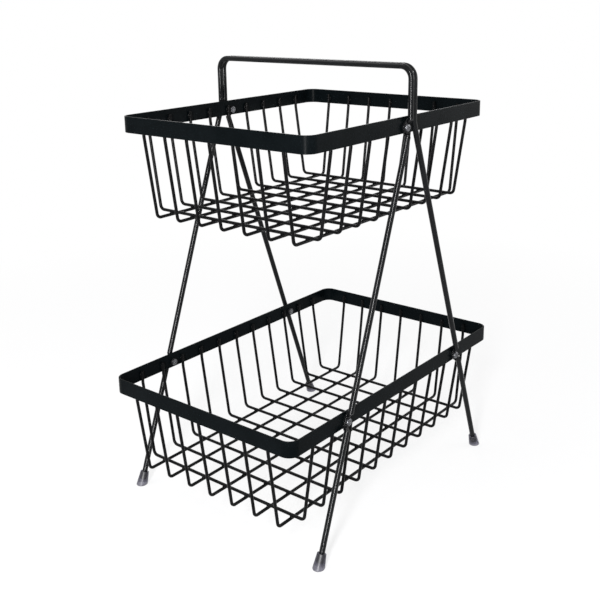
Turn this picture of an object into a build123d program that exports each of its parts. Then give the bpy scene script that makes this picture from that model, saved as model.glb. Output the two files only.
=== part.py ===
from build123d import *
from math import atan2, copysign, cos, sin
import os

# Two-tier wire basket carried by a pair of bent-rod frames, in millimetres.
# X runs along the long sides of the baskets, from the left (-X) to the right,
# Y runs from the front (-Y) to the back, along the handle bar, and Z is up.
# The origin is on the ground, under the middle of the stand.

# Baskets
basket_width = 250.0
lower_length = 384.0
upper_length = 320.0
basket_depth = 109.0
lower_rim_top = 147.5

# Flat rim bands
rim_height = 17.0
rim_thickness = 1.8
rim_corner_radius = 12.0
rim_edge_rounding = 0.5

# Wires, spread between margins measured from the outer faces of the rims
wire_diameter = 3.4
long_wire_count = 7
lower_cross_count = 11
upper_cross_count = 9
side_margin = 32.0
lower_end_margin = 37.0
upper_end_margin = 36.0
floor_inset = 16.0
wire_bend_radius = 5.3
wire_end_drop = 5.5
wire_end_rounding = 0.4
knee_drop = 2.0
knee_radius = 20.0
weld_gap = 0.1

# Bent rods
rod_diameter = 6.0
rod_pair_gap = 0.1
rod_rim_gap = 1.8
handle_top = 480.5
handle_corner_radius = 12.5
handle_joint_run = 0.2
handle_upright = 58.5
upper_rim_rise = 6.5
leg_bend_radius = 14.0
leg_spread = 318.0

# Eyes pressed into the rods, where they are screwed to the rims
eye_diameter = 10.0
eye_thickness = 2.5
eye_flat_length = 9.0
eye_ramp_length = 5.0
eye_edge_rounding = 0.5
lower_eye_drop = 10.5
upper_eye_drop = 11.0
eye_shift = 2.0
seat_gap = 0.1

# Screws and nuts
screw_diameter = 4.0
screw_hole_diameter = 4.4
screw_head_diameter = 8.0
screw_head_height = 2.6
screw_head_rounding = 1.5
screw_point_length = 0.9
screw_point_chamfer = 0.5
recess_length = 4.6
recess_width = 0.9
recess_depth = 1.6
recess_bottom_diameter = 1.6
nut_flats = 7.0
nut_thickness = 3.2
nut_chamfer = 0.5
thread_clearance = 0.05
nut_wire_gap = 1.0

# Foot caps, pushed over the ends of the legs
cap_top_diameter = 9.4
cap_bottom_diameter = 12.8
cap_length = 15.5
cap_base_thickness = 6.0
cap_clearance = 0.1
cap_top_rounding = 0.8
cap_bottom_rounding = 1.6

# How far cutting shapes run past what they cut
cut_overrun = 2.0

# What the sizes above give: radii, the rods' lines and the eyes' places
half_width = basket_width / 2
wire_radius = wire_diameter / 2
rod_radius = rod_diameter / 2
rod_x = (rod_diameter + rod_pair_gap) / 2
rod_y = half_width + rod_rim_gap + rod_radius
handle_z = handle_top - rod_radius
leg_end_y = rod_y - handle_corner_radius - handle_joint_run
leg_bend_height = handle_top - handle_upright
upper_rim_top = leg_bend_height + upper_rim_rise
foot_x = leg_spread / 2
leg_lean = (foot_x - rod_x) / leg_bend_height
leg_angle = atan2(foot_x - rod_x, leg_bend_height)
eye_reach = eye_flat_length / 2 + eye_ramp_length
eye_back_y = half_width + seat_gap
eye_front_y = eye_back_y + eye_thickness


def leg_x(height):
    """How far a leg's line is from the middle of the stand, at one height."""
    return rod_x + (leg_bend_height - height) * leg_lean


lower_eye_z = lower_rim_top - lower_eye_drop
lower_eye_x = leg_x(lower_eye_z) - eye_shift
upper_eye_z = upper_rim_top - upper_eye_drop
upper_eye_x = leg_x(upper_eye_z) + eye_shift


def spread_places(count, length, margin):
    """Evenly spaced places about the middle, between two margins."""
    pitch = (length - 2 * margin) / (count - 1)
    return [pitch * (i - (count - 1) / 2) for i in range(count)]


def beside_nuts(place, nut_x):
    """A cross wire's place, moved aside where it would come too near a nut."""
    berth = nut_flats / 2 + nut_wire_gap + wire_radius
    for nut_place in (-nut_x, nut_x):
        offset = place - nut_place
        if abs(offset) < berth:
            return nut_place + copysign(berth, offset)
    return place


def one_per_leg(front_left):
    """The piece at the front left leg and its mirror images at the others."""
    back_left = mirror(front_left, about=Plane.XZ)
    return {
        "front_left": front_left,
        "front_right": mirror(front_left, about=Plane.YZ),
        "back_left": back_left,
        "back_right": mirror(back_left, about=Plane.YZ),
    }


def half_turned(piece):
    """The piece turned half round about the middle of the stand."""
    return Rot(0, 0, 180) * piece


# Wires: a run along the floor of the basket, bent up at both ends, with its
# tips upright against the inner face of the rim.
def hung_wire(half_span, rim_top, floor_z):
    tip = half_span - rim_thickness - weld_gap - wire_radius
    corner = half_span - floor_inset
    tip_z = rim_top - wire_end_drop
    knee_z = rim_top - rim_height - knee_drop
    points = [
        (-tip, 0, tip_z),
        (-tip, 0, knee_z),
        (-corner, 0, floor_z),
        (corner, 0, floor_z),
        (tip, 0, knee_z),
        (tip, 0, tip_z),
    ]
    radii = [knee_radius, wire_bend_radius, wire_bend_radius, knee_radius]
    line = FilletPolyline(*points, radius=radii)
    wire = sweep(Plane(origin=line @ 0, z_dir=line % 0) * Circle(wire_radius), path=line)
    tip_edges = wire.faces().sort_by(Axis.Z)[-2:].edges()
    return fillet(tip_edges, wire_end_rounding)


def basket_wires(tier, length, rim_top, cross_count, end_margin, nut_x):
    long_floor_z = rim_top - basket_depth + wire_radius
    cross_floor_z = long_floor_z + wire_diameter + weld_gap
    long_wire = hung_wire(length / 2, rim_top, long_floor_z)
    cross_wire = Rot(0, 0, 90) * hung_wire(half_width, rim_top, cross_floor_z)
    wires = {}
    for i, y in enumerate(spread_places(long_wire_count, basket_width, side_margin)):
        wires[f"{tier}_long_wire_{i + 1:02d}"] = Pos(0, y, 0) * long_wire
    for i, x in enumerate(spread_places(cross_count, length, end_margin)):
        wires[f"{tier}_cross_wire_{i + 1:02d}"] = Pos(beside_nuts(x, nut_x), 0, 0) * cross_wire
    return wires


# Rims: a flat band bent round to a rounded rectangle and drilled for screws.
def rim_band(length, rim_top, hole_places, hole_z):
    outline = RectangleRounded(length, basket_width, rim_corner_radius)
    outline -= RectangleRounded(
        length - 2 * rim_thickness,
        basket_width - 2 * rim_thickness,
        rim_corner_radius - rim_thickness,
    )
    band = extrude(Pos(0, 0, rim_top - rim_height) * outline, amount=rim_height)
    band = fillet(band.faces().filter_by(Plane.XY).edges(), rim_edge_rounding)
    for x, side in hole_places:
        drill = Plane(origin=(x, side * half_width, hole_z), z_dir=(0, side, 0))
        band -= drill * Cylinder(screw_hole_diameter / 2, 2 * (rim_thickness + cut_overrun))
    return band


# Eyes: the rod's outer side is pressed in as far as the eye's front face, and
# a flat plate spreads to both sides there, with ramps back to the round rod.
def leg_side_plane(x, z):
    """Plane across a front left eye, with its x up the leg and its y forward
    from the eye's back face."""
    return Plane(
        origin=(-x, -eye_back_y, z),
        x_dir=(sin(leg_angle), 0, cos(leg_angle)),
        z_dir=(cos(leg_angle), 0, -sin(leg_angle)),
    )


def ramped_prism(x, z, flat_y, ramp_y, ramp_length, far_y):
    """Prism across the leg: flat at one depth in the middle, with a ramp at
    each end to another depth, and closed at a third."""
    flat = eye_flat_length / 2
    outline = Polygon(
        (-flat - ramp_length, ramp_y),
        (-flat, flat_y),
        (flat, flat_y),
        (flat + ramp_length, ramp_y),
        (flat + ramp_length, far_y),
        (-flat - ramp_length, far_y),
        align=None,
    )
    return extrude(leg_side_plane(x, z) * outline, amount=eye_diameter, both=True)


def press_eye(rod, x, z, above, below):
    """Press an eye into the front left rod, between two points of its line.
    The plate ends where the other rod's side begins, if it reaches so far."""
    outline = make_hull(
        [
            (Pos(-x, z) * Circle(eye_diameter / 2)).edge(),
            (Pos(*above) * Circle(rod_radius)).edge(),
            (Pos(*below) * Circle(rod_radius)).edge(),
        ]
    )
    plate = extrude(Plane.XZ.offset(eye_back_y) * outline, amount=eye_thickness)
    plate = fillet(plate.faces().sort_by(Axis.Y)[0].edges(), eye_edge_rounding)
    plate &= ramped_prism(x, z, 0, eye_thickness, eye_ramp_length, 2 * eye_thickness)
    plate = split(plate, bisect_by=Plane.YZ.offset(-rod_pair_gap / 2), keep=Keep.BOTTOM)
    rod_front = rod_rim_gap - seat_gap + rod_diameter
    ramp_rise = rod_front - eye_thickness
    pressed = ramped_prism(
        x, z, eye_thickness, rod_front + ramp_rise, 2 * eye_ramp_length, rod_front + 2 * ramp_rise
    )
    hole = Plane(origin=(-x, -eye_front_y, z), z_dir=(0, -1, 0)) * Cylinder(
        screw_hole_diameter / 2, 2 * (eye_thickness + cut_overrun)
    )
    return rod - pressed + plate - hole


# Rods: each leg is bent over at the top to meet the handle bar, and has an eye
# for the lower rim. Two of the legs have one for the upper rim as well.
def front_left_leg(has_upper_eye):
    leg_foot_x = foot_x - cap_base_thickness * sin(leg_angle)
    leg_foot_z = cap_base_thickness * cos(leg_angle)
    points = [
        (-leg_foot_x, -rod_y, leg_foot_z),
        (-rod_x, -rod_y, leg_bend_height),
        (-rod_x, -rod_y, handle_z),
        (-rod_x, -leg_end_y, handle_z),
    ]
    line = FilletPolyline(*points, radius=[leg_bend_radius, handle_corner_radius])
    rod = sweep(Plane(origin=line @ 0, z_dir=line % 0) * Circle(rod_radius), path=line)

    reach = eye_reach - rod_radius
    rise = reach * cos(leg_angle)
    low_above = (-leg_x(lower_eye_z + rise), lower_eye_z + rise)
    low_below = (-leg_x(lower_eye_z - rise), lower_eye_z - rise)
    rod = press_eye(rod, lower_eye_x, lower_eye_z, low_above, low_below)
    if not has_upper_eye:
        return rod
    up_above = (-rod_x, upper_eye_z + reach)
    up_below = (-leg_x(upper_eye_z - rise), upper_eye_z - rise)
    return press_eye(rod, upper_eye_x, upper_eye_z, up_above, up_below)


def left_handle_bar():
    section = Plane.XZ * Pos(-rod_x, handle_z) * Circle(rod_radius)
    return extrude(section, amount=leg_end_y - weld_gap, both=True)


# Fasteners: screws with a cross recess from outside, and nuts inside the rims.
def screw(x, z):
    """Screw through a front left eye, its axis across the rim."""
    head = Cylinder(
        screw_head_diameter / 2, screw_head_height, align=(Align.CENTER, Align.CENTER, Align.MIN)
    )
    head = fillet(head.faces().sort_by(Axis.Z)[-1].edges(), screw_head_rounding)
    cross = Box(recess_length, recess_width, 2 * recess_depth)
    cross += Box(recess_width, recess_length, 2 * recess_depth)
    cross &= Cone(
        recess_bottom_diameter / 2,
        recess_length / 2,
        recess_depth,
        align=(Align.CENTER, Align.CENTER, Align.MAX),
    )
    head -= Pos(0, 0, screw_head_height) * cross
    grip = 3 * seat_gap + eye_thickness + rim_thickness + nut_thickness
    shank = Cylinder(
        screw_diameter / 2,
        grip + screw_point_length,
        align=(Align.CENTER, Align.CENTER, Align.MAX),
    )
    shank = chamfer(shank.faces().sort_by(Axis.Z)[0].edges(), screw_point_chamfer)
    seat = Plane(origin=(-x, -eye_front_y - seat_gap, z), x_dir=(1, 0, 0), z_dir=(0, -1, 0))
    return seat * Rot(0, 0, 45) * (head + shank)


def nut(x, z):
    """Nut on the inner face of the rim at the front left, flats to the sides."""
    hexagon = RegularPolygon(nut_flats / 2, 6, major_radius=False, rotation=30)
    body = extrude(hexagon, amount=nut_thickness)
    corner_diameter = hexagon.bounding_box().size.Y
    blank = Cylinder(
        corner_diameter / 2, nut_thickness, align=(Align.CENTER, Align.CENTER, Align.MIN)
    )
    body &= chamfer(blank.edges().filter_by(GeomType.CIRCLE), nut_chamfer)
    body -= Cylinder(screw_diameter / 2 + thread_clearance, 2 * (nut_thickness + cut_overrun))
    seat_y = half_width - rim_thickness - seat_gap
    return Plane(origin=(-x, -seat_y, z), x_dir=(1, 0, 0), z_dir=(0, 1, 0)) * body


# Foot caps: tapered, cut flat on the ground, bored from above for the rod.
def foot_cap():
    """Cap of the front left leg."""
    leg_line = Plane(origin=(-foot_x, -rod_y, 0), z_dir=(sin(leg_angle), 0, cos(leg_angle)))
    top_radius = cap_top_diameter / 2
    bottom_radius = cap_bottom_diameter / 2
    buried = cap_bottom_diameter * leg_lean
    buried_radius = bottom_radius + (bottom_radius - top_radius) * buried / cap_length
    upward = (Align.CENTER, Align.CENTER, Align.MIN)
    cap = Pos(0, 0, -buried) * Cone(
        buried_radius, top_radius, cap_length + buried, align=upward
    )
    cap = split(leg_line * cap, bisect_by=Plane.XY, keep=Keep.TOP)
    cap = fillet(cap.faces().sort_by(Axis.Z)[0].edges(), cap_bottom_rounding)
    cap = fillet(cap.faces().sort_by(Axis.Z)[-1].edges(), cap_top_rounding)
    bore = Pos(0, 0, cap_base_thickness - cap_clearance) * Cylinder(
        rod_radius + cap_clearance, cap_length, align=upward
    )
    return cap - leg_line * bore


def build_parts():
    parts = {}
    lower_holes = [(x, side) for x in (-lower_eye_x, lower_eye_x) for side in (-1, 1)]
    upper_holes = [(-upper_eye_x, -1), (upper_eye_x, 1)]
    parts["lower_rim"] = rim_band(lower_length, lower_rim_top, lower_holes, lower_eye_z)
    parts["upper_rim"] = rim_band(upper_length, upper_rim_top, upper_holes, upper_eye_z)
    parts |= basket_wires(
        "lower", lower_length, lower_rim_top, lower_cross_count, lower_end_margin, lower_eye_x
    )
    parts |= basket_wires(
        "upper", upper_length, upper_rim_top, upper_cross_count, upper_end_margin, upper_eye_x
    )
    plain_leg = front_left_leg(has_upper_eye=False)
    parts["leg_front_left"] = front_left_leg(has_upper_eye=True)
    parts["leg_front_right"] = mirror(plain_leg, about=Plane.YZ)
    parts["leg_back_left"] = mirror(plain_leg, about=Plane.XZ)
    parts["leg_back_right"] = half_turned(parts["leg_front_left"])
    parts["handle_bar_left"] = left_handle_bar()
    parts["handle_bar_right"] = half_turned(parts["handle_bar_left"])
    for place, cap in one_per_leg(foot_cap()).items():
        parts[f"foot_cap_{place}"] = cap
    for name, fastener in (("screws", screw), ("nuts", nut)):
        lower_set = one_per_leg(fastener(lower_eye_x, lower_eye_z))
        parts[f"lower_{name}"] = Compound(children=list(lower_set.values()))
        first = fastener(upper_eye_x, upper_eye_z)
        parts[f"upper_{name}"] = Compound(children=[first, half_turned(first)])
    return parts


os.makedirs("parts", exist_ok=True)
for node, piece in build_parts().items():
    piece.label = node
    export_step(piece, f"parts/{node}.step")
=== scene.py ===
import math
import bpy
from mathutils import Matrix, Vector


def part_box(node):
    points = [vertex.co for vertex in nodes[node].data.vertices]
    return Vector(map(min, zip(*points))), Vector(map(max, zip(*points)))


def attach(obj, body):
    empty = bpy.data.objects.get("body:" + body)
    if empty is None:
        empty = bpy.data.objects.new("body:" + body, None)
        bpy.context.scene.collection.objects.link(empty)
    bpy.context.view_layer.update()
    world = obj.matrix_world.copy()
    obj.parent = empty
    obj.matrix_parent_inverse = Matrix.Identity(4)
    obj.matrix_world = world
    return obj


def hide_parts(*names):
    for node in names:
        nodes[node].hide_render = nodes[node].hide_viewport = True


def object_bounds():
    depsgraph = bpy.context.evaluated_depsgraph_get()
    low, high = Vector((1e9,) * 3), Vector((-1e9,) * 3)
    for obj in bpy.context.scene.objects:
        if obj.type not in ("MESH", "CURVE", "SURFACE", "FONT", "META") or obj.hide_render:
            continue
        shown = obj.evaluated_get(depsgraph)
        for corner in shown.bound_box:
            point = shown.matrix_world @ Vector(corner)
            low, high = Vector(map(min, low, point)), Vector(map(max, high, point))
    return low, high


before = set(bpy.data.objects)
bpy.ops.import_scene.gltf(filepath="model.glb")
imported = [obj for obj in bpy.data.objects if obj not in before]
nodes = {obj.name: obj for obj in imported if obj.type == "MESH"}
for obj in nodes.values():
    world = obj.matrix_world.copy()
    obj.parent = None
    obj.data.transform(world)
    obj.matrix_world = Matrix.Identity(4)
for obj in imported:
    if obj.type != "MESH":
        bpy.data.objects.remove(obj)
cadLow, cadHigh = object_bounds()
print("frame loaded:", len(nodes), "nodes")

white = (1, 1, 1, 1)


# the way from the object to a camera or lamp; azimuth 0 lies along -Y
def outward(azimuth, elevation):
    az, el = math.radians(azimuth), math.radians(elevation)
    return Vector((math.sin(az) * math.cos(el), -math.cos(az) * math.cos(el), math.sin(el)))


# camera, at the photograph's angle: distances in metres, angles in degrees
viewSettings = {
    "azimuth": -50.87,
    "elevation": 15.092,
    "roll": -0.887,
    "distance": 1.0048,
    "sideways": -0.01297,  # of the aim point, along the picture
    "aimHeight": 0.28559,
    "lens": 53.581,
    "sensor": 36.0,
    "shiftY": -0.1083,
    "nearest": 0.05,  # and farthest: the range in which things are drawn
    "farthest": 60,
}


def makeCamera(s):
    az, roll = math.radians(s["azimuth"]), math.radians(s["roll"])
    back = outward(s["azimuth"], s["elevation"])
    right = Vector((math.cos(az), math.sin(az), 0))
    up = back.cross(right)
    rolledRight = right * math.cos(roll) + up * math.sin(roll)
    rolledUp = up * math.cos(roll) - right * math.sin(roll)
    aim = right * s["sideways"] + Vector((0, 0, s["aimHeight"]))
    bpy.ops.object.camera_add()
    camera = bpy.context.object
    camera.name = "photoCamera"
    turn = Matrix((rolledRight, rolledUp, back)).transposed()
    camera.matrix_world = Matrix.Translation(aim + back * s["distance"]) @ turn.to_4x4()
    camera.data.lens = s["lens"]
    camera.data.sensor_width = s["sensor"]
    camera.data.shift_y = s["shiftY"]
    camera.data.clip_start = s["nearest"]
    camera.data.clip_end = s["farthest"]
    bpy.context.scene.camera = camera


makeCamera(viewSettings)
print("camera set")


# small helpers for node trees
def addNode(tree, kind, **values):
    node = tree.nodes.new(kind)
    for name, value in values.items():
        setattr(node, name, value)
    return node


def addNoise(tree, detail, roughness=0.5):
    place = addNode(tree, "ShaderNodeTexCoord")
    noise = addNode(tree, "ShaderNodeTexNoise")
    noise.inputs["Detail"].default_value = detail
    noise.inputs["Roughness"].default_value = roughness
    tree.links.new(place.outputs["Object"], noise.inputs["Vector"])
    return noise


def addRange(tree, start, end, low=0, high=1):
    spread = addNode(tree, "ShaderNodeMapRange")
    spread.inputs["From Min"].default_value = start
    spread.inputs["From Max"].default_value = end
    spread.inputs["To Min"].default_value = low
    spread.inputs["To Max"].default_value = high
    return spread


def addProduct(tree, first, second):
    product = addNode(tree, "ShaderNodeMath", operation="MULTIPLY")
    tree.links.new(first, product.inputs[0])
    tree.links.new(second, product.inputs[1])
    return product.outputs["Value"]


def newGroup(name, inputs, output):
    group = bpy.data.node_groups.new(name, "ShaderNodeTree")
    for label, value in inputs.items():
        socket = group.interface.new_socket(label, in_out="INPUT", socket_type="NodeSocketFloat")
        socket.default_value = value
    group.interface.new_socket(output, in_out="OUTPUT", socket_type="NodeSocketFloat")
    return group, addNode(group, "NodeGroupInput"), addNode(group, "NodeGroupOutput")


def placeGroup(tree, group, values):
    node = addNode(tree, "ShaderNodeGroup", node_tree=group)
    for label, value in values.items():
        node.inputs[label].default_value = value
    return node


# sprayed and baked paint: a fine orange peel over broad, faint waves
peelSettings = {
    "sockets": {"Fine Scale": 900, "Broad Scale": 90, "Broad Share": 0.4},
    "fineDetail": 2,
    "broadDetail": 1,
}


def makePeelGroup(s):
    group, start, end = newGroup("orangePeel", s["sockets"], "Height")
    fine = addNoise(group, s["fineDetail"])
    broad = addNoise(group, s["broadDetail"])
    blend = addNode(group, "ShaderNodeMix", data_type="FLOAT")
    group.links.new(start.outputs["Fine Scale"], fine.inputs["Scale"])
    group.links.new(start.outputs["Broad Scale"], broad.inputs["Scale"])
    group.links.new(start.outputs["Broad Share"], blend.inputs[0])
    group.links.new(fine.outputs["Fac"], blend.inputs[2])
    group.links.new(broad.outputs["Fac"], blend.inputs[3])
    group.links.new(blend.outputs[0], end.inputs["Height"])
    return group


# a value that drifts over the surface between a low and a high end
driftSettings = {
    "sockets": {"Scale": 40, "Low": 0.1, "High": 0.3},
    "detail": 5,
    "noiseEnds": (0.3, 0.7),  # the noise that gives the low and the high end
}


def makeDriftGroup(s):
    group, start, end = newGroup("surfaceDrift", s["sockets"], "Value")
    noise = addNoise(group, s["detail"])
    spread = addRange(group, *s["noiseEnds"])
    group.links.new(start.outputs["Scale"], noise.inputs["Scale"])
    group.links.new(noise.outputs["Fac"], spread.inputs["Value"])
    group.links.new(start.outputs["Low"], spread.inputs["To Min"])
    group.links.new(start.outputs["High"], spread.inputs["To Max"])
    group.links.new(spread.outputs["Result"], end.inputs["Value"])
    return group


# dust that settles on faces that look up, in small specks and a thin film
dustSettings = {
    "sockets": {"Scale": 600, "Amount": 0.1},
    "levelEnds": (0.35, 1),  # how far up a face looks, from no dust to all of it
    "detail": 6,
    "roughness": 0.7,
    "filmEnds": (0.45, 0.75),
}


def makeDustGroup(s):
    group, start, end = newGroup("settledDust", s["sockets"], "Mask")
    surface = addNode(group, "ShaderNodeNewGeometry")
    axes = addNode(group, "ShaderNodeSeparateXYZ")
    level = addRange(group, *s["levelEnds"])
    specks = addNoise(group, s["detail"], s["roughness"])
    film = addRange(group, *s["filmEnds"])
    group.links.new(surface.outputs["Normal"], axes.inputs["Vector"])
    group.links.new(axes.outputs["Z"], level.inputs["Value"])
    group.links.new(start.outputs["Scale"], specks.inputs["Scale"])
    group.links.new(specks.outputs["Fac"], film.inputs["Value"])
    onTop = addProduct(group, level.outputs["Result"], film.outputs["Result"])
    mask = addProduct(group, onTop, start.outputs["Amount"])
    group.links.new(mask, end.inputs["Mask"])
    return group


# outer edges, found by how far a rounded normal leans from the true one, and lightened there: rubbed
# bare steel together with a painted glint
edgeGlintSettings = {
    "sockets": {"Width": 0.0004, "Amount": 0.5, "Breakup Scale": 900},
    "samples": 4,
    "leanEnds": (0.99, 0.85),  # cosines, from no lightened edge to all of it
    "detail": 4,
    "patchEnds": (0.4, 0.6),
}


def makeEdgeGlintGroup(s):
    group, start, end = newGroup("edgeRubAndGlint", s["sockets"], "Mask")
    rounded = addNode(group, "ShaderNodeBevel", samples=s["samples"])
    surface = addNode(group, "ShaderNodeNewGeometry")
    lean = addNode(group, "ShaderNodeVectorMath", operation="DOT_PRODUCT")
    edge = addRange(group, *s["leanEnds"])
    noise = addNoise(group, s["detail"])
    patches = addRange(group, *s["patchEnds"])
    group.links.new(start.outputs["Width"], rounded.inputs["Radius"])
    group.links.new(rounded.outputs["Normal"], lean.inputs[0])
    group.links.new(surface.outputs["Normal"], lean.inputs[1])
    group.links.new(lean.outputs["Value"], edge.inputs["Value"])
    group.links.new(start.outputs["Breakup Scale"], noise.inputs["Scale"])
    group.links.new(noise.outputs["Fac"], patches.inputs["Value"])
    broken = addProduct(group, edge.outputs["Result"], patches.outputs["Result"])
    mask = addProduct(group, broken, start.outputs["Amount"])
    group.links.new(mask, end.inputs["Mask"])
    return group


peelGroup = makePeelGroup(peelSettings)
driftGroup = makeDriftGroup(driftSettings)
dustGroup = makeDustGroup(dustSettings)
edgeGlintGroup = makeEdgeGlintGroup(edgeGlintSettings)


# what every finish of the stand has: a new material and its shader, a base
# colour that drifts between two tints, and a gloss that drifts too
def startMaterial(name):
    material = bpy.data.materials.new(name)
    material.use_nodes = True
    tree = material.node_tree
    return material, tree, tree.nodes["Principled BSDF"]


def driftingTint(tree, s):
    drift = placeGroup(tree, driftGroup, {"Scale": s["driftScale"], "Low": 0, "High": 1})
    tint = addNode(tree, "ShaderNodeMix", data_type="RGBA")
    tint.inputs[6].default_value = (*s["deep"], 1)
    tint.inputs[7].default_value = (*s["light"], 1)
    tree.links.new(drift.outputs["Value"], tint.inputs[0])
    return tint.outputs[2]


def colorOver(tree, under, color, mask):
    over = addNode(tree, "ShaderNodeMix", data_type="RGBA")
    over.inputs[7].default_value = (*color, 1)
    tree.links.new(under, over.inputs[6])
    tree.links.new(mask, over.inputs[0])
    return over.outputs[2]


def driftingGloss(tree, shader, s):
    ends = {"Scale": s["glossScale"], "Low": s["smooth"], "High": s["rough"]}
    gloss = placeGroup(tree, driftGroup, ends)
    tree.links.new(gloss.outputs["Value"], shader.inputs["Roughness"])


# black baked enamel, as on the rims, wires and rods
def makeEnamel(name, s):
    material, tree, shader = startMaterial(name)
    shader.inputs["Specular IOR Level"].default_value = s["specular"]
    dust = placeGroup(tree, dustGroup, {"Scale": s["dustScale"], "Amount": s["dust"]})
    dusted = colorOver(tree, driftingTint(tree, s), s["dustColor"], dust.outputs["Mask"])
    tree.links.new(dusted, shader.inputs["Base Color"])
    driftingGloss(tree, shader, s)
    peel = placeGroup(tree, peelGroup, {"Fine Scale": s["peelScale"], "Broad Scale": s["waveScale"]})
    bump = addNode(tree, "ShaderNodeBump")
    bump.inputs["Strength"].default_value = s["peelStrength"]
    bump.inputs["Distance"].default_value = s["peelDepth"]
    tree.links.new(peel.outputs["Height"], bump.inputs["Height"])
    tree.links.new(bump.outputs["Normal"], shader.inputs["Normal"])
    return material


rimEnamel = makeEnamel(
    "rimEnamel",
    {
        "specular": 0.025,
        "deep": (0.0010, 0.0018, 0.0022),
        "light": (0.0020, 0.0030, 0.0036),
        "driftScale": 30,
        "smooth": 0.24,
        "rough": 0.34,
        "glossScale": 60,
        "dust": 0.03,
        "dustScale": 900,
        "dustColor": (0.30, 0.30, 0.29),
        "peelScale": 1400,
        "waveScale": 140,
        "peelStrength": 0.5,
        "peelDepth": 0.00008,
    },
)
rodEnamel = makeEnamel(
    "rodEnamel",
    {
        "specular": 0.14,
        "deep": (0.0020, 0.0022, 0.0025),
        "light": (0.0038, 0.0042, 0.0048),
        "driftScale": 45,
        "smooth": 0.10,
        "rough": 0.15,
        "glossScale": 80,
        "dust": 0.03,
        "dustScale": 900,
        "dustColor": (0.30, 0.30, 0.29),
        "peelScale": 1600,
        "waveScale": 160,
        "peelStrength": 0.04,
        "peelDepth": 0.00005,
    },
)
wireEnamel = makeEnamel(
    "wireEnamel",
    {
        "specular": 0.06,
        "deep": (0.0016, 0.0016, 0.0018),
        "light": (0.0034, 0.0035, 0.0038),
        "driftScale": 60,
        "smooth": 0.18,
        "rough": 0.30,
        "glossScale": 120,
        "dust": 0.03,
        "dustScale": 1000,
        "dustColor": (0.28, 0.28, 0.27),
        "peelScale": 1900,
        "waveScale": 200,
        "peelStrength": 0.5,
        "peelDepth": 0.00006,
    },
)


# grey-plated screws and nuts, lighter at their edges: rubbed bare steel together with a painted glint
# that brightens the heads
def makePlating(name, s):
    material, tree, shader = startMaterial(name)
    shader.inputs["Metallic"].default_value = s["metallic"]
    glintRub = placeGroup(tree, edgeGlintGroup, {"Width": s["glintRubWidth"], "Amount": s["glintRub"]})
    wornAndGlinting = colorOver(tree, driftingTint(tree, s), s["bareAndGlint"], glintRub.outputs["Mask"])
    tree.links.new(wornAndGlinting, shader.inputs["Base Color"])
    driftingGloss(tree, shader, s)
    return material


screwPlating = makePlating(
    "screwPlating",
    {
        "metallic": 0.9,
        "deep": (0.060, 0.062, 0.068),
        "light": (0.150, 0.153, 0.162),
        "driftScale": 400,
        "smooth": 0.20,
        "rough": 0.34,
        "glossScale": 700,
        "glintRub": 0.7,
        "glintRubWidth": 0.00025,
        # bare steel at the edges, light enough to paint a glint on the heads
        "bareAndGlint": (0.66, 0.66, 0.67),
    },
)


# smoke-tinted soft vinyl of the foot caps, cloudy inside
def makeVinyl(name, s):
    material, tree, shader = startMaterial(name)
    shader.inputs["Transmission Weight"].default_value = s["clear"]
    shader.inputs["IOR"].default_value = s["bending"]
    shader.inputs["Specular IOR Level"].default_value = s["specular"]
    tree.links.new(driftingTint(tree, s), shader.inputs["Base Color"])
    driftingGloss(tree, shader, s)
    return material


capVinyl = makeVinyl(
    "capVinyl",
    {
        "clear": 0.92,
        "bending": 1.45,  # of light: the index of refraction
        "specular": 0.04,
        "deep": (0.052, 0.050, 0.075),
        "light": (0.100, 0.096, 0.132),
        "driftScale": 90,
        "smooth": 0.36,
        "rough": 0.48,
        "glossScale": 150,
    },
)


def nodeMaterial(name):
    if "_wire_" in name:
        return wireEnamel
    if name.endswith("rim"):
        return rimEnamel
    if name.startswith(("leg_", "handle_bar")):
        return rodEnamel
    if name.startswith("foot_cap"):
        return capVinyl
    return screwPlating


for name, piece in nodes.items():
    piece.data.materials.clear()
    piece.data.materials.append(nodeMaterial(name))
print("materials placed")


def finishPiece(piece, name, material):
    piece.name = name
    piece.data.materials.clear()
    piece.data.materials.append(material)
    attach(piece, "root")


# foot caps, moulded in one piece with the rod's end seen through them
capShape = {
    "height": 0.0155,  # along the leg's line
    "topRadius": 0.0047,
    "bottomRadius": 0.00632,
    "lean": 20.28,  # degrees from upright, as the legs'
    "footX": 0.159,
    "footY": 0.1298,
    "buried": 0.0048,  # made below the ground, then cut away along it
    "sides": 56,
    "bottomRounding": 0.0016,
    "topRounding": 0.0008,
    "roundingSteps": 4,
    "smoothAngle": 40,
}


def roundEnd(cap, top, rounding, s):
    bpy.ops.mesh.select_all(action="DESELECT")
    bpy.ops.object.mode_set(mode="OBJECT")
    ends = [face for face in cap.data.polygons if len(face.vertices) > s["sides"] / 2]
    ends.sort(key=lambda face: face.center.z)
    (ends[-1] if top else ends[0]).select = True
    bpy.ops.object.mode_set(mode="EDIT")
    bpy.ops.mesh.bevel(offset=rounding, offset_type="WIDTH", segments=s["roundingSteps"], affect="EDGES")


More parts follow.
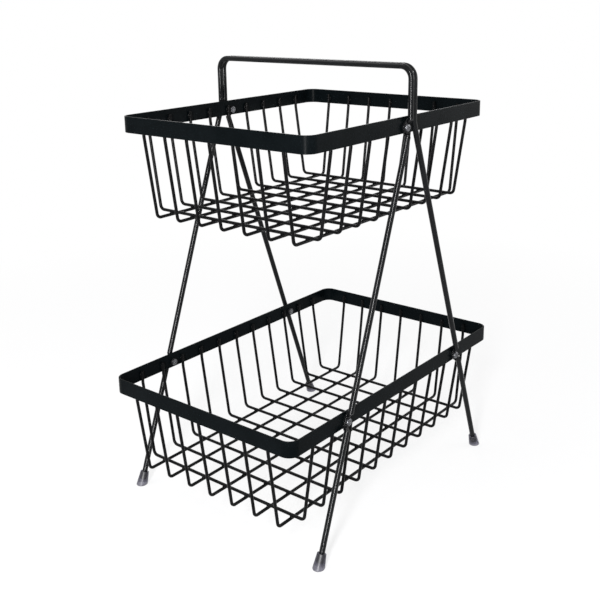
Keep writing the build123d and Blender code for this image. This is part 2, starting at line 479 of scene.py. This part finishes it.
# the front left cap; the others are its mirrored copies
def makeCap(s):
    lean = math.radians(s["lean"])
    widening = (s["bottomRadius"] - s["topRadius"]) / s["height"]
    middle = (s["height"] - s["buried"]) / 2  # of the cone, up the leg's line
    bpy.ops.object.select_all(action="DESELECT")
    bpy.ops.mesh.primitive_cone_add(
        vertices=s["sides"],
        radius1=s["bottomRadius"] + widening * s["buried"],
        radius2=s["topRadius"],
        depth=s["height"] + s["buried"],
        location=(middle * math.sin(lean) - s["footX"], -s["footY"], middle * math.cos(lean)),
        rotation=(0, lean, 0),
    )
    cap = bpy.context.object
    bpy.ops.object.transform_apply(location=True, rotation=True, scale=True)
    bpy.ops.object.mode_set(mode="EDIT")
    bpy.ops.mesh.select_mode(type="FACE")
    bpy.ops.mesh.select_all(action="SELECT")
    bpy.ops.mesh.bisect(plane_co=(0, 0, 0), plane_no=(0, 0, 1), use_fill=True, clear_inner=True)
    roundEnd(cap, False, s["bottomRounding"], s)
    roundEnd(cap, True, s["topRounding"], s)
    bpy.ops.mesh.select_all(action="SELECT")
    bpy.ops.mesh.normals_make_consistent(inside=False)
    bpy.ops.object.mode_set(mode="OBJECT")
    bpy.ops.object.shade_smooth_by_angle(angle=math.radians(s["smoothAngle"]))
    return cap


def mirrorCap(cap, alongX, alongY):
    bpy.ops.object.select_all(action="DESELECT")
    cap.select_set(True)
    bpy.context.view_layer.objects.active = cap
    bpy.ops.object.duplicate()
    other = bpy.context.object
    other.scale = (alongX, alongY, 1)
    bpy.ops.object.transform_apply(location=True, rotation=True, scale=True)
    bpy.ops.object.mode_set(mode="EDIT")
    bpy.ops.mesh.select_all(action="SELECT")
    bpy.ops.mesh.normals_make_consistent(inside=False)
    bpy.ops.object.mode_set(mode="OBJECT")
    return other


def finishCap(cap, name, node):
    finishPiece(cap, name, capVinyl)
    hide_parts(node)


frontLeft = makeCap(capShape)
finishCap(mirrorCap(frontLeft, -1, 1), "cap_frontRight", "foot_cap_front_right")
finishCap(mirrorCap(frontLeft, 1, -1), "cap_backLeft", "foot_cap_back_left")
finishCap(mirrorCap(frontLeft, -1, -1), "cap_backRight", "foot_cap_back_right")
finishCap(frontLeft, "cap_frontLeft", "foot_cap_front_left")
print("foot caps modelled")


# spot welds: a little flattened flash where two wires cross, and where a
# wire's end lies against the inside of a rim; sizes are half widths
weldShape = {
    "width": 0.0021,
    "crossingHeight": 0.0010,
    "endDepth": 0.0009,
    "endHeight": 0.0040,
    "endDrop": 0.0055,  # from the wire's end to the middle of the weld
    "segments": 8,
    "rings": 5,
}


def wireBoxes(kind):
    return [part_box(name) for name in sorted(nodes) if name.startswith(kind)]


def findWelds(tier, s):
    longWires, crossWires = wireBoxes(tier + "_long_wire"), wireBoxes(tier + "_cross_wire")
    crossing = (s["width"], s["width"], s["crossingHeight"])
    longEnd = (s["endDepth"], s["width"], s["endHeight"])
    crossEnd = (s["width"], s["endDepth"], s["endHeight"])
    spots = []
    for low, high in longWires:
        y = (low[1] + high[1]) / 2
        contact = low[2] + (high[1] - low[1])  # the top of the wire's floor run
        for crossLow, crossHigh in crossWires:
            spots.append((((crossLow[0] + crossHigh[0]) / 2, y, contact), crossing))
        for x in (low[0], high[0]):
            spots.append(((x, y, high[2] - s["endDrop"]), longEnd))
    for low, high in crossWires:
        x = (low[0] + high[0]) / 2
        for y in (low[1], high[1]):
            spots.append(((x, y, high[2] - s["endDrop"]), crossEnd))
    return spots


def makeWelds(tier, s):
    bpy.ops.object.select_all(action="DESELECT")
    bpy.ops.object.add(type="MESH")
    welds = bpy.context.object
    bpy.ops.object.mode_set(mode="EDIT")
    for place, size in findWelds(tier, s):
        bpy.ops.mesh.primitive_uv_sphere_add(
            segments=s["segments"], ring_count=s["rings"], radius=1, location=place, scale=size
        )
    bpy.ops.object.mode_set(mode="OBJECT")
    bpy.ops.object.shade_smooth()
    finishPiece(welds, tier + "_basket_welds", wireEnamel)


for tier in ("lower", "upper"):
    makeWelds(tier, weldShape)
print("spot welds modelled")


# one where a ray comes from the camera, or straight from gloss or glass
def seenDirectly(tree):
    path = addNode(tree, "ShaderNodeLightPath")
    first = addNode(tree, "ShaderNodeMath", operation="MAXIMUM")
    both = addNode(tree, "ShaderNodeMath", operation="MAXIMUM")
    tree.links.new(path.outputs["Is Camera Ray"], first.inputs[0])
    tree.links.new(path.outputs["Is Glossy Ray"], first.inputs[1])
    tree.links.new(first.outputs["Value"], both.inputs[0])
    tree.links.new(path.outputs["Is Transmission Ray"], both.inputs[1])
    return both.outputs["Value"]


# studio: a pale floor that turns white away from the object
floorSettings = {
    "size": 24.0,
    "color": (0.86, 0.86, 0.87),
    "roughness": 0.9,
    "specular": 0.1,
    "glow": 0.76,  # share of plain white in what the camera sees near the object
    "glowStart": 0.4,  # and glowEnd: how far from the middle it starts to turn
    "glowEnd": 1.1,  # and is wholly white
}


def makeFloor(s):
    bpy.ops.mesh.primitive_plane_add(size=s["size"], location=(0, 0, 0))
    floor = bpy.context.object
    floor.name = "floor"
    material, tree, shader = startMaterial("floorPaper")
    shader.inputs["Base Color"].default_value = (*s["color"], 1)
    shader.inputs["Roughness"].default_value = s["roughness"]
    shader.inputs["Specular IOR Level"].default_value = s["specular"]
    glow = addNode(tree, "ShaderNodeEmission")
    place = addNode(tree, "ShaderNodeTexCoord")
    away = addNode(tree, "ShaderNodeVectorMath", operation="LENGTH")
    fade = addRange(tree, s["glowStart"], s["glowEnd"], s["glow"], 1)
    blend = addNode(tree, "ShaderNodeMixShader")
    tree.links.new(place.outputs["Object"], away.inputs[0])
    tree.links.new(away.outputs["Value"], fade.inputs["Value"])
    share = addProduct(tree, seenDirectly(tree), fade.outputs["Result"])
    tree.links.new(share, blend.inputs[0])
    tree.links.new(shader.outputs["BSDF"], blend.inputs[1])
    tree.links.new(glow.outputs["Emission"], blend.inputs[2])
    tree.links.new(blend.outputs["Shader"], tree.nodes["Material Output"].inputs["Surface"])
    floor.data.materials.append(material)


# white all round for the camera, and a fainter light on the object
surroundSettings = {"light": 0.4, "backdrop": 1}


def makeSurround(s):
    world = bpy.data.worlds.new("surround")
    world.use_nodes = True
    tree = world.node_tree
    light = tree.nodes["Background"]
    light.inputs["Strength"].default_value = s["light"]
    light.inputs["Color"].default_value = white
    backdrop = addNode(tree, "ShaderNodeBackground")
    backdrop.inputs["Strength"].default_value = s["backdrop"]
    backdrop.inputs["Color"].default_value = white
    blend = addNode(tree, "ShaderNodeMixShader")
    tree.links.new(seenDirectly(tree), blend.inputs[0])
    tree.links.new(light.outputs["Background"], blend.inputs[1])
    tree.links.new(backdrop.outputs["Background"], blend.inputs[2])
    tree.links.new(blend.outputs["Shader"], tree.nodes["World Output"].inputs["Surface"])
    bpy.context.scene.world = world


# lamps, aimed at the object's middle; the tall strip draws the streak on the rods
lampSettings = {
    "sideStrip": {"azimuth": -64, "elevation": 14, "distance": 2.0, "size": (0.2, 1.44), "power": 80},
    "frontRight": {"azimuth": 48, "elevation": 10, "distance": 2.2, "size": (1.2, 0.7), "power": 12},
    "topSoft": {"azimuth": -140, "elevation": 60, "distance": 2.2, "size": (1.4, 1.4), "power": 16},
    "rearEdge": {"azimuth": 129, "elevation": 18, "distance": 2.2, "size": (1.0, 0.5), "power": 5},
}


def makeLamp(name, s, aim):
    back = outward(s["azimuth"], s["elevation"])
    bpy.ops.object.light_add(type="AREA")
    lamp = bpy.context.object
    lamp.name = name
    lamp.location = aim + back * s["distance"]
    lamp.rotation_mode = "QUATERNION"
    lamp.rotation_quaternion = (-back).to_track_quat("-Z", "Y")
    lamp.data.shape = "RECTANGLE"
    lamp.data.size, lamp.data.size_y = s["size"]
    lamp.data.energy = s["power"]


makeFloor(floorSettings)
makeSurround(surroundSettings)
for name, settings in lampSettings.items():
    makeLamp(name, settings, (cadLow + cadHigh) / 2)
bpy.context.scene.view_settings.view_transform = "Standard"
print("studio set")
